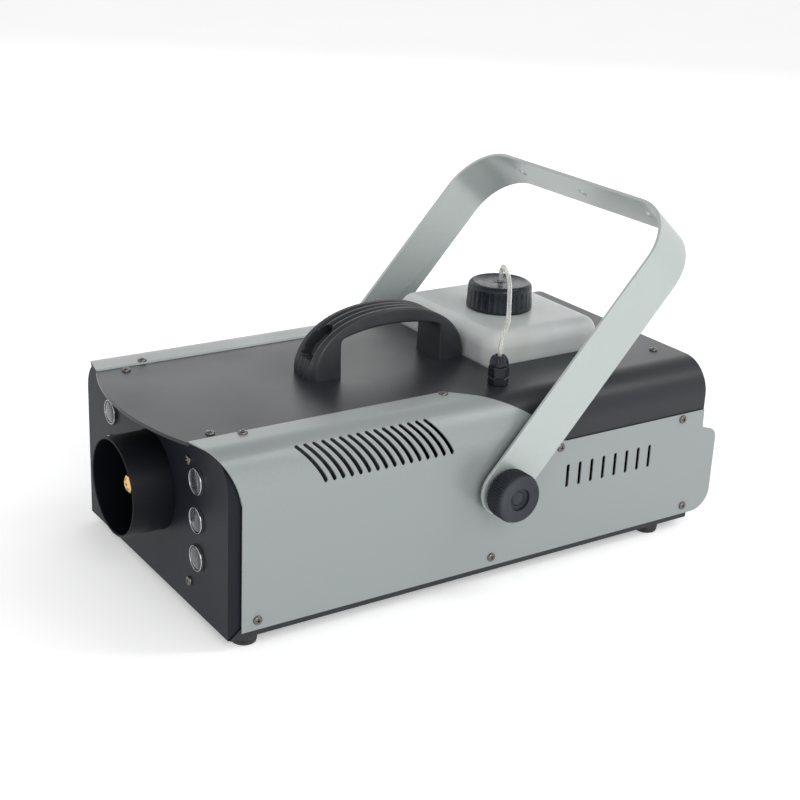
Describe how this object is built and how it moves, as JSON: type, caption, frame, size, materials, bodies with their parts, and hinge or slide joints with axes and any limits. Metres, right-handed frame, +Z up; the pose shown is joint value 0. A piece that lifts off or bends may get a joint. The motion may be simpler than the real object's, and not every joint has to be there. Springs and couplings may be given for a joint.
{
  "type": "fog machine",
  "caption": "Box-shaped fog machine with an outlet tube, side lamps, carry handle, fluid tank with a feed hose, and a tilting U bracket clamped by knobs.",
  "frame": {"origin": "centre of the machine's bounding box, on the surface that its feet stand on", "axes": "-Y is the front, where the outlet tube is; +X is the side with the hose gland; +Z is up"},
  "size_m": [0.32, 0.512, 0.2936],
  "materials": {
    "silver_paint": "satin silver powder coat",
    "black_paint": "fine satin black powder coat",
    "black_plastic": "moulded black",
    "brass": "machined",
    "cast_aluminium": "as cast",
    "zinc_steel": "zinc plated",
    "coil_tape": "yellow winding tape",
    "clear_hose": "clear tube",
    "circuit_board": "solder mask",
    "red_rocker": "moulded red",
    "tank_plastic": "translucent natural plastic",
    "screw_steel": "nickel plated",
    "foot_rubber": "moulded",
    "chrome_ring": "polished",
    "lamp_lens": "dark lens"
  },
  "bodies": {
    "casing": {"board_standoffs": "zinc_steel", "carry_handle": "black_plastic", "control_board": "circuit_board", "end_panel_screws": "screw_steel", "feed_hose": "clear_hose", "feed_tube": "clear_hose", "floor_tray": "black_paint", "fluid_tank": "tank_plastic", "foot_front_left": "foot_rubber", "foot_front_right": "foot_rubber", "foot_rear_left": "foot_rubber", "foot_rear_right": "foot_rubber", "front_panel": "black_paint", "gland_body": "black_plastic", "gland_nut": "black_plastic", "handle_screws": "zinc_steel", "heater_block": "cast_aluminium", "heater_mounts": "zinc_steel", "lamp_bezel_lower_left": "chrome_ring", "lamp_bezel_lower_right": "chrome_ring", "lamp_bezel_middle_left": "chrome_ring", "lamp_bezel_middle_right": "chrome_ring", "lamp_bezel_upper_left": "chrome_ring", "lamp_bezel_upper_right": "chrome_ring", "lamp_boards": "circuit_board", "lamp_lenses_left": "lamp_lens", "lamp_lenses_right": "lamp_lens", "mains_inlet": "black_plastic", "nozzle": "brass", "outlet_pipe": "brass", "outlet_tube": "black_paint", "pickup_filter": "brass", "pickup_tube": "clear_hose", "pivot_post_left": "zinc_steel", "pivot_post_right": "zinc_steel", "pivot_spacer_left": "black_plastic", "pivot_spacer_right": "black_plastic", "pump_coil": "coil_tape", "pump_frame": "zinc_steel", "pump_sleeve": "brass", "rear_panel": "black_paint", "remote_socket": "black_plastic", "side_cover_left": "silver_paint", "side_cover_right": "silver_paint", "side_cover_screws": "screw_steel", "switch_housing": "black_plastic", "tank_well": "black_paint", "top_cover": "black_paint", "top_cover_screws": "screw_steel", "transformer": "coil_tape"},
    "bracket": {"mounting_bracket": "silver_paint"},
    "washer_right": {"knob_washer_right": "zinc_steel"},
    "knob_right": {"clamp_knob_right": "black_plastic"},
    "washer_left": {"knob_washer_left": "zinc_steel"},
    "knob_left": {"clamp_knob_left": "black_plastic"},
    "liner": {"cap_liner": "tank_plastic"},
    "cap": {"tank_cap": "black_plastic"},
    "rocker": {"power_rocker": "red_rocker"},
    "drawer": {"fuse_drawer": "black_plastic"},
    "plunger": {"pump_plunger": "zinc_steel"}
  },
  "joints": [
    {"name": "bracket_tilt", "type": "hinge", "parent": "casing", "child": "bracket", "pos_m": [0, 0.0164, 0.0837], "axis": [1, 0, 0], "range_deg": [-42, 110]},
    {"name": "washer_slide_right", "type": "slide", "parent": "casing", "child": "washer_right", "axis": [1, 0, 0], "range_m": [0, 0.0025]},
    {"name": "knob_turn_right", "type": "hinge", "parent": "washer_right", "child": "knob_right", "pos_m": [0.15, 0.0164, 0.0837], "axis": [1, 0, 0], "range_deg": [0, 720]},
    {"name": "washer_slide_left", "type": "slide", "parent": "casing", "child": "washer_left", "axis": [-1, 0, 0], "range_m": [0, 0.0025]},
    {"name": "knob_turn_left", "type": "hinge", "parent": "washer_left", "child": "knob_left", "pos_m": [-0.15, 0.0164, 0.0837], "axis": [-1, 0, 0], "range_deg": [0, 720]},
    {"name": "cap_lift", "type": "slide", "parent": "casing", "child": "liner", "axis": [0, 0, 1], "range_m": [0, 0.006]},
    {"name": "cap_turn", "type": "hinge", "parent": "liner", "child": "cap", "pos_m": [-0.016, 0.119, 0.19], "axis": [0, 0, 1], "range_deg": [0, 540]},
    {"name": "power_switch", "type": "hinge", "parent": "casing", "child": "rocker", "pos_m": [-0.024, 0.2312, 0.06], "axis": [1, 0, 0], "range_deg": [0, 16]},
    {"name": "fuse_drawer_slide", "type": "slide", "parent": "casing", "child": "drawer", "axis": [0, 1, 0], "range_m": [0, 0.012]},
    {"name": "pump_stroke", "type": "slide", "parent": "casing", "child": "plunger", "axis": [0, 1, 0], "range_m": [0, 0.003], "stiffness_N_per_m": 400}
  ],
  "couplings": [
    {"joint": "washer_slide_right", "follows": "knob_turn_right", "m_per_rad": 0.00019894},
    {"joint": "washer_slide_left", "follows": "knob_turn_left", "m_per_rad": 0.00019894},
    {"joint": "cap_lift", "follows": "cap_turn", "m_per_rad": 0.00063662}
  ]
}
